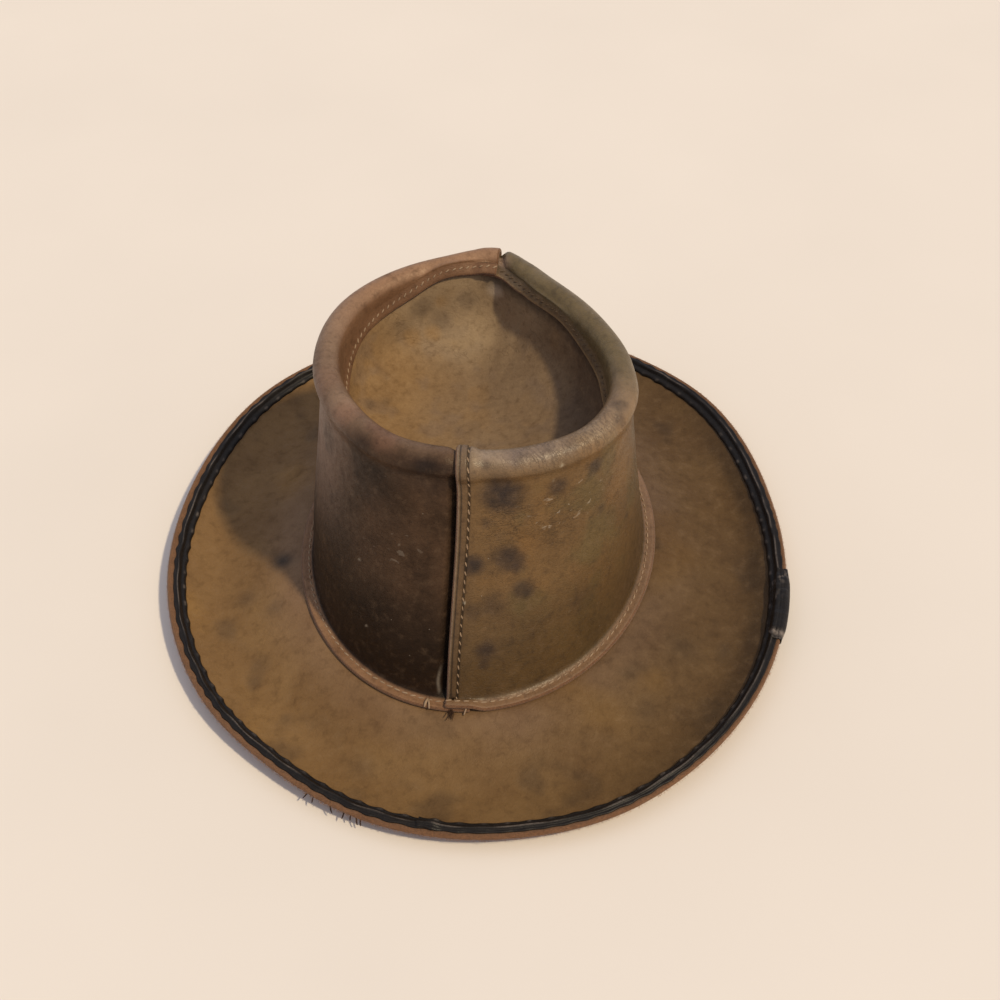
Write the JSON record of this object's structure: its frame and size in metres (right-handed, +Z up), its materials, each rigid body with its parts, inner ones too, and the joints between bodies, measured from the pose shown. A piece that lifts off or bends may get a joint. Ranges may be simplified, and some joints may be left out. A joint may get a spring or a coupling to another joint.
{
  "type": "leather hat",
  "caption": "Leather hat with a wide, wired brim that curls up at its edge, a tapering crown lapped at the front and the back, a rolled rim and a deeply sunken, pointed tip.",
  "frame": {"origin": "middle of the outline seen from above, on the surface that the lowest ring of the brim rests on", "axes": "+Z up, -Y is the front of the hat and +X is the wearer's left"},
  "size_m": [0.3034, 0.3346, 0.1322],
  "materials": {
    "brim_leather": "worn, smooth side up",
    "brown_leather": "worn satin",
    "olive_leather": "worn satin",
    "tan_leather": "mottled, matte",
    "binding_tape": "black, wavy, glossy"
  },
  "bodies": {
    "root": {"brim": "brim_leather", "crown_left": "brown_leather", "crown_right": "olive_leather", "crown_tip": "tan_leather", "brim_binding": "binding_tape", "binding_wrap": "binding_tape"}
  },
  "joints": []
}
